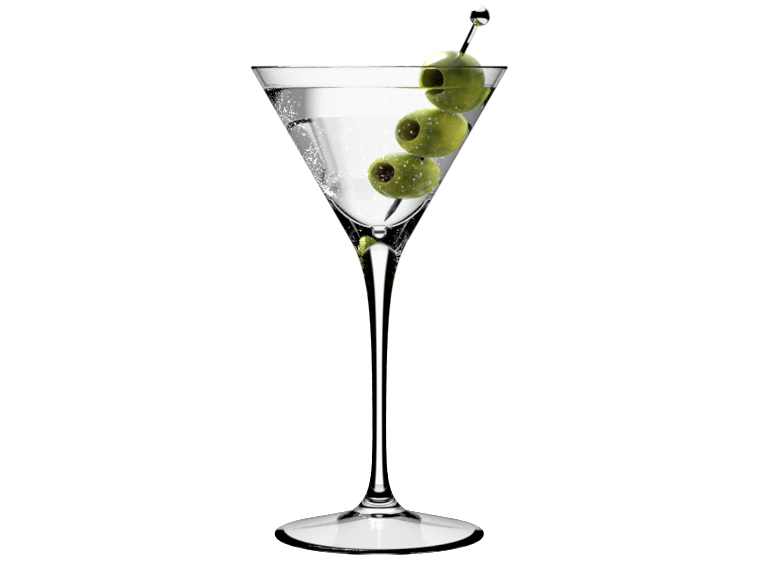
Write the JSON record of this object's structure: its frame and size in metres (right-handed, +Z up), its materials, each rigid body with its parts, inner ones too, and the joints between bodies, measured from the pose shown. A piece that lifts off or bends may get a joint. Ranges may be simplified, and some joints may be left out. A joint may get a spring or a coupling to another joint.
{
  "type": "martini cocktail",
  "caption": "Clear cocktail in a stemmed cone glass, with pitted green olives on a steel pick leaning against the bowl.",
  "frame": {"origin": "centre of the foot's underside, on the plane the glass stands on", "axes": "+Z up along the stem, -Y towards the viewer of the olives' open ends, +X to the side the pick leans to"},
  "size_m": [0.0994, 0.0994, 0.2068],
  "materials": {
    "glass": "clear polished glass",
    "drink": "clear liquid with fine bubbles",
    "olive": "wet, smooth olive skin",
    "steel": "polished steel"
  },
  "bodies": {
    "root": {"glass": "glass", "drink": "drink", "olive_low": "olive", "olive_mid": "olive", "olive_top": "olive", "pick": "steel"}
  },
  "joints": []
}
